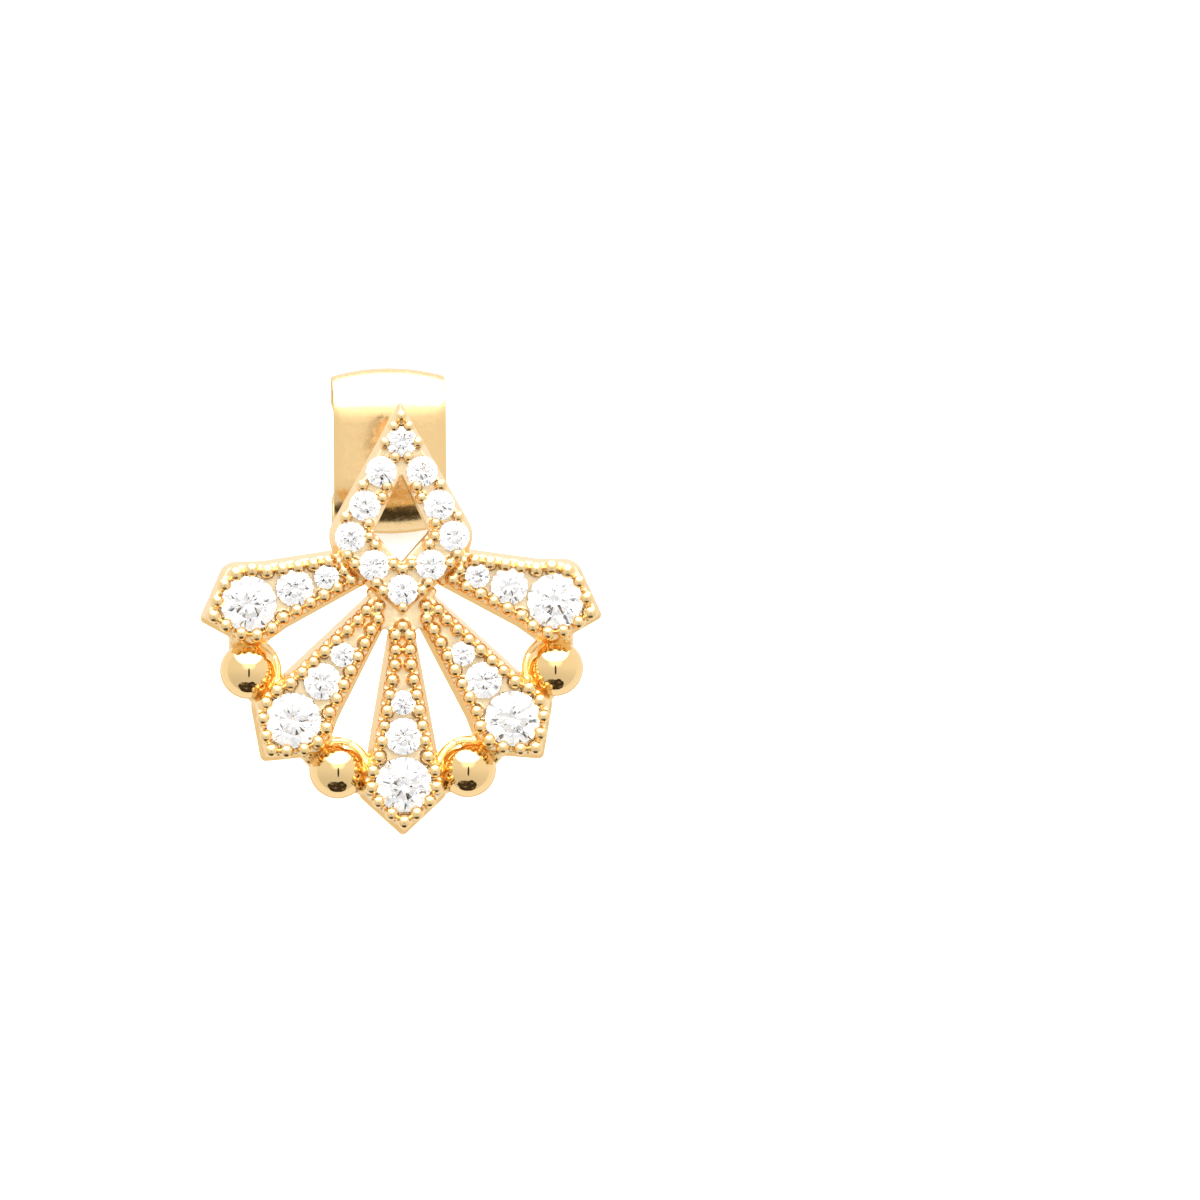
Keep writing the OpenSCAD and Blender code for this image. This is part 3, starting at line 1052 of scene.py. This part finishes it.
@dataclass
class Post:
    """The soldered post, with its groove and round end."""

    height: float
    root: float
    radius: float = 0.44
    grip: float = 0.43
    neck: float = 0.29
    length: float = 10.0
    fillet: float = 0.2
    sunk: float = 0.3

    def make(self, caster: Caster) -> None:
        """Turns the post."""
        wide = self.radius + self.fillet
        foot = arc(wide, -self.fillet, self.fillet, range(90, 181, 10))
        knob = self.length - self.grip
        end = arc(0.0, -knob, self.grip, range(0, -91, -6))
        end[-1] = (0.0, -self.length)
        groove = [
            (self.grip, -7.6),
            (self.grip - 0.012, -7.66),
            (self.neck + 0.012, -8.30),
            (self.neck, -8.36),
            (self.neck, -8.84),
            (self.neck + 0.01, -8.88),
            (self.grip - 0.015, -knob + 0.06),
        ]
        shaft = [(self.radius, z) for z in (-1.5, -3.0, -4.5, -6.6)]
        profile = [(0.0, self.sunk), (wide, self.sunk)]
        profile += foot + shaft + groove + end
        metal = Shells().lathe([(r, z + self.root) for r, z in profile], 0.0, self.height)
        caster.place(metal.object("ear_post"), 28.0)


@dataclass(frozen=True)
class Station:
    """A place along the middle of the butterfly's strip.

    Attributes:
        up: Height up the fan, from the post's axis.
        depth: Height of the strip's middle, from the plate's front.
        out: Direction of its outer face, as up and depth.
        width: Its width.
        bulge: How far its edges curl in.
    """

    up: float
    depth: float
    out: Point
    width: float
    bulge: float


@dataclass
class Clutch:
    """The butterfly back: a dished plate whose wings roll up.

    Attributes:
        height: Height of the post's axis up the fan.
        front: Height of the plate's front.
    """

    height: float
    front: float
    width: float = 3.7
    inner_width: float = 2.8
    strip: float = 0.22
    bore: float = 0.47
    sweep: float = 1.52
    outer: float = 1.025
    inner: float = 0.745
    end: float = 0.6
    end_angle: float = 10.0
    eyelet: float = 0.72
    eyelet_depth: float = 0.48
    eyelet_round: float = 0.08
    across: int = 14
    barrel: float = 0.26
    crown: float = 0.2
    dish: float = 0.03
    dish_radius: float = 1.1
    edge: float = 0.045

    def stations(self) -> list[Station]:
        """Returns the upper wing's stations, from the post out."""
        low = self.bore + self.strip / 2
        centre = low + self.outer
        high = centre + self.outer
        depth = self.strip / 2 + self.sweep
        flat = high - self.sweep
        made = [
            Station(flat * i / 5, -self.strip / 2, (0.0, 1.0), self.width, self.crown)
            for i in range(5)
        ]
        turns = [
            (self.sweep, flat, 180, 90, 9, self.crown, self.barrel),
            (self.outer, centre, 90, -90, 20, self.barrel, 0.10),
            (self.inner, low + self.inner, -90, -270, 18, 0.10, 0.06),
            (self.end, low + 2 * self.inner - self.end, -270, self.end_angle - 360, 8, 0.06, 0.03),
        ]
        for number, (radius, middle, start, stop, steps, first, last) in enumerate(turns):
            for i in range(0 if number == 0 else 1, steps + 1):
                share = i / steps
                a = math.radians(start + (stop - start) * share)
                out = (math.sin(a), -math.cos(a))
                narrow = [0.0, max(0.0, share * 2 - 1), 1.0, 1.0][number]
                width = self.width + (self.inner_width - self.width) * narrow
                bulge = first + (last - first) * share
                place = (middle + radius * out[0], -depth + radius * out[1])
                made.append(Station(*place, out, width, bulge))
        return made

    def _rolled(self) -> Shells:
        """The strip's middle surface, rolled from a flat grid."""
        upper = self.stations()
        lower = [
            Station(-s.up, s.depth, (-s.out[0], s.out[1]), s.width, s.bulge)
            for s in upper[:0:-1]
        ]
        path = lower + upper
        shells = Shells()
        verts = bmesh.ops.create_grid(
            shells.mesh, x_segments=self.across, y_segments=len(path) - 1, size=1.0
        )["verts"]
        for vert in verts:
            station = path[round((vert.co.y + 1) / 2 * (len(path) - 1))]
            share = vert.co.x
            curl = station.bulge * share * share
            x = share * station.width / 2
            up = station.up - station.out[0] * curl
            depth = station.depth - station.out[1] * curl
            if abs(station.out[0]) < 0.01 and abs(station.up) < self.dish_radius:
                near = min(1.0, math.hypot(x, station.up) / self.dish_radius)
                depth -= self.dish * (1 - near * near) ** 2
            vert.co = (x, up, depth)
        bmesh.ops.recalc_face_normals(shells.mesh, faces=list(shells.mesh.faces))
        return shells

    def make(self, caster: Caster) -> None:
        """Rolls the strip, gives it its eyelet, drills it and dresses it."""
        piece = self._rolled().object("butterfly_clutch")
        modify(piece, "SOLIDIFY", thickness=self.strip, offset=0.0, use_even_offset=True)
        sharp = {"limit_method": "ANGLE", "angle_limit": math.radians(50)}
        modify(piece, "BEVEL", width=self.edge, segments=3, **sharp)
        applied(piece)
        rim = self.eyelet_round
        deep = -self.eyelet_depth
        profile = [(0.0, -0.12), (self.eyelet + 0.1, -0.16), (self.eyelet, -0.24)]
        profile += arc(self.eyelet - rim, deep + rim, rim, range(0, -91, -18))
        profile.append((0.0, deep))
        carved(piece, Shells().lathe(profile).object("eyelet"), "UNION")
        wide = self.bore + 0.07
        profile = [(0.0, -1.0), (self.bore, -1.0), (self.bore, -0.22)]
        profile += [(self.bore + 0.02, -0.16), (wide, -0.06), (wide, 1.0), (0.0, 1.0)]
        carved(piece, Shells().lathe(profile).object("drill"))
        piece.data.transform(Matrix.Translation((0.0, self.height, self.front)))
        caster.place(piece, 40.0)


# Studio


@dataclass(frozen=True)
class Panel:
    """A soft panel, or a dark gap, in the light tent round the jewel.

    Attributes:
        elevation: Height of its middle, in degrees.
        azimuth: Turn of its middle from the front, in degrees.
        half_width: Half its width, in degrees.
        half_height: Half its height, in degrees.
        light: Its brightness.
        edge: Softness of its edge.
        mottle: How much brighter it is in spots, with a ragged edge.
        tint: Its colour.
        square: How square its corners are.
    """

    elevation: float
    azimuth: float
    half_width: float
    half_height: float
    light: float
    edge: float = 0.1
    mottle: float = 0.0
    tint: Colour = (1.0, 1.0, 1.0)
    square: float = 2.6

    def over(self, tree: NodeTree, ray, below) -> Socket:
        """Returns the light in a ray's direction, with the panel laid over it."""
        a, e = math.radians(self.azimuth), math.radians(self.elevation)
        middle = Vector((math.sin(a) * math.cos(e), -math.cos(a) * math.cos(e), math.sin(e)))
        right = Vector((math.cos(a), math.sin(a), 0.0))
        upward = right.cross(-middle)
        ahead = tree.along(ray, middle)
        spans = []
        for axis, half in ((right, self.half_width), (upward, self.half_height)):
            share = tree.math("DIVIDE", tree.along(ray, axis), ahead)
            share = tree.math("DIVIDE", share, math.tan(math.radians(half)))
            spans.append(tree.math("POWER", tree.math("ABSOLUTE", share), self.square))
        light, reach = self.light, tree.math("ADD", spans[0], spans[1])
        if self.mottle:
            spots = tree.noise(ray, 3.4, 3.0)
            light = tree.ramp(spots, 0.48, 0.72, self.light, self.light + self.mottle)
            reach = tree.math("ADD", reach, tree.ramp(spots, 0.3, 0.7, -0.25, 0.45))
        inside = tree.ramp(reach, 1 - self.edge, 1 + self.edge, 1.0, 0.0)
        seen = tree.math("MULTIPLY", inside, tree.math("GREATER_THAN", ahead, 0.0))
        inputs = {0: self.tint, "Scale": light}
        shine = tree.add("ShaderNodeVectorMath", inputs, operation="SCALE").outputs[0]
        node = tree.add("ShaderNodeMix", {0: seen, 4: below, 5: shine}, data_type="VECTOR")
        return node.outputs[1]


@dataclass
class Studio:
    """A pale floor, the light tent round it, and the camera."""

    drawing: Drawing
    pixels_per_mm: float = 31.0
    frame_pixels: float = 1200.0
    jewel_at: Point = (402.1, 618.7)
    distance: float = 0.36
    tilt: float = 0.6
    yaw: float = -3.6
    roll: float = 0.5
    strength: float = 1.07
    panels: tuple[Panel, ...] = (
        Panel(78.5, 0.0, 26.0, 26.0, 1.6, 0.9),
        Panel(56.0, 180.0, 45.0, 51.0, 3.6, 0.16),
        Panel(-25.5, -3.0, 32.0, 27.0, 0.05, 0.08, 0.24, (1.0, 0.8, 0.55)),
        Panel(38.5, 0.0, 3.6, 19.0, 0.05, 0.3),
        Panel(-60.0, 180.0, 30.0, 24.0, 0.85, 0.5, 0.0, (1.0, 0.80, 0.48)),
    )

    def tent(self) -> None:
        """Lights the world as a light tent."""
        world = bpy.data.worlds.new("light_tent")
        world.use_nodes = True
        tree = NodeTree(world.node_tree)
        ray = tree.add("ShaderNodeTexCoord").outputs["Generated"]
        turn = self.drawing.to_row.to_3x3().normalized()
        axes = (turn @ OUT, turn @ Vector((0.0, 1.0, 0.0)), RIGHT)
        ahead, height, side = (tree.along(ray, axis) for axis in axes)
        front = tree.ramp(height, -0.7, 0.3, 0.80, 1.0)
        front = tree.math("ADD", front, tree.math("MULTIPLY", side, 0.05))
        behind = tree.ramp(ahead, -0.16, -0.04, 1.0, 0.0)
        level = tree.add("ShaderNodeMix", {0: behind, 2: front, 3: 1.06}).outputs[0]
        light = tree.add("ShaderNodeCombineColor", {0: level, 1: level, 2: level}).outputs[0]
        for panel in self.panels:
            light = panel.over(tree, ray, light)
        shine = tree.add("ShaderNodeBackground", {"Color": light, "Strength": self.strength})
        tree.add("ShaderNodeOutputWorld", {"Surface": shine.outputs[0]})
        world.cycles.sampling_method = "MANUAL"
        world.cycles.sample_map_resolution = 1024
        bpy.context.scene.world = world

    def floor(self) -> None:
        """Lays a plain pale floor."""
        shells = Shells()
        bmesh.ops.create_circle(shells.mesh, cap_ends=True, segments=96, radius=1.5)
        ground = shells.object("floor")
        made, tree = new_material("pale_floor")
        tree.surface(
            {
                "Base Color": (0.92, 0.92, 0.92, 1.0),
                "Roughness": 0.9,
                "Specular IOR Level": 0.1,
                "Emission Color": (1.0, 1.0, 1.0, 1.0),
                "Emission Strength": 0.5,
            }
        )
        ground.data.materials.append(made)
        ground.visible_glossy = False
        ground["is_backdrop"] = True

    def camera(self) -> None:
        """Sets the camera at the photograph's angle to the face."""
        to_row = self.drawing.to_row
        origin = to_row @ OUT
        face = (to_row.to_3x3() @ OUT).normalized()
        lean = math.asin(face.z) + math.radians(self.tilt)
        back, right = Vector((0.0, -math.cos(lean), math.sin(lean))), RIGHT
        upward = back.cross(right)
        turn = Matrix.Rotation(math.radians(self.yaw), 3, upward)
        back, right = turn @ back, turn @ right
        turn = Matrix.Rotation(math.radians(-self.roll), 3, back)
        right, upward = turn @ right, turn @ upward
        step = MM / self.pixels_per_mm
        half = self.frame_pixels / 2
        middle = origin + right * (half - self.jewel_at[0]) * step
        middle += upward * (self.jewel_at[1] - half) * step
        data = bpy.data.cameras.new("camera")
        data.sensor_width = 36.0
        data.lens = 36.0 * self.distance / (self.frame_pixels * step)
        data.clip_start, data.clip_end = 0.01, 10.0
        made = bpy.data.objects.new("camera", data)
        bpy.context.scene.collection.objects.link(made)
        place = Matrix((right, upward, back)).transposed().to_4x4()
        place.translation = middle + back * self.distance
        made.matrix_world = place
        bpy.context.scene.camera = made

    def make(self) -> None:
        """Builds the studio, and sets how light and colour are worked out."""
        self.tent()
        self.floor()
        self.camera()
        scene = bpy.context.scene
        scene.view_settings.view_transform = "Standard"
        scene.view_settings.look = "None"
        cycles = scene.cycles
        cycles.max_bounces = 16
        cycles.glossy_bounces = 8
        cycles.transmission_bounces = 14
        cycles.caustics_reflective = True
        cycles.caustics_refractive = True
        cycles.blur_glossy = 0.3
        cycles.sample_clamp_indirect = 6.0


# Earring

OUTER_BLADE = (3.95, 5, 6, 3.26, 0.0, (1.2, 1.85))
INNER_BLADE = (5.60, 8, 8, 4.60, 0.012, (0.5, 0.86))
MIDDLE_BLADE = (6.35, 9, 9, 5.11, 0.003)
BLADES = (OUTER_BLADE, INNER_BLADE, MIDDLE_BLADE, INNER_BLADE, OUTER_BLADE)
BALLS = ((-4.95, -1.63), (-2.10, -4.87), (2.10, -4.87), (4.95, -1.63))
POST_HEIGHT = 5.45
PIN_TO_KITE = 3.4
CLUTCH_DISTANCE = 6.95
KITE_LIFT = 0.36


def main() -> None:
    """Builds the earring's looks and its studio."""
    logging.basicConfig(level=logging.INFO, format="%(message)s")
    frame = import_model()
    cad_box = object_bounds()
    drawing = Drawing.from_frame(frame, POST_HEIGHT, KITE_LIFT - PIN_TO_KITE)
    grain = Grain.FINE
    cast_gold = Gold("cast_gold").material()
    caster = Caster(drawing, cast_gold, grain.value)
    balls = [Vector(place) for place in BALLS]
    blades = []
    for i, row in enumerate(BLADES):
        sizes = ("large", "medium", "small")
        stones = tuple(drawing.stone(f"{size}_stone_{i + 1}") for size in sizes)
        sides = tuple(balls[max(0, i - 1) : i + 1])
        blades.append(Blade(f"blade_{i + 1}", stones, sides, *row))
    for i, blade in enumerate(blades):
        blade.make(caster, Web(blades[1].lift) if i == 2 else None)
    kite = Kite(tuple(drawing.stone(f"kite_stone_{i}") for i in range(1, 11)))
    kite.make(caster)
    ball_gold = Gold(
        "ball_gold", bright=(0.86, 0.615, 0.30), polish=0.04, ripple=1.2e-6
    ).material()
    turner = Caster(drawing, ball_gold)
    for i, place in enumerate(balls):
        back = blades[0].lift if i in (0, 3) else blades[1].lift
        Ball(i + 1, place.x, place.y, back).make(turner)
    Post(POST_HEIGHT, kite.lift).make(caster)
    spring_gold = Gold(
        "spring_gold", bright=(0.84, 0.60, 0.30), polish=0.22, ripple=3e-6
    ).material()
    roller = Caster(
        drawing, spring_gold, body=Body.BUTTERFLY, slot=Slot.SPRING, node="butterfly_back"
    )
    Clutch(POST_HEIGHT, kite.lift - CLUTCH_DISTANCE).make(roller)
    ClearStone().cut(drawing, [n for n in frame["nodes"] if "_stone_" in n])
    Studio(drawing).make()
    boxes = {"cad": cad_box, "visual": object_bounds()}
    sizes = {k: [list(map(float, corner)) for corner in v] for k, v in boxes.items()}


if __name__ == "__main__":
    main()
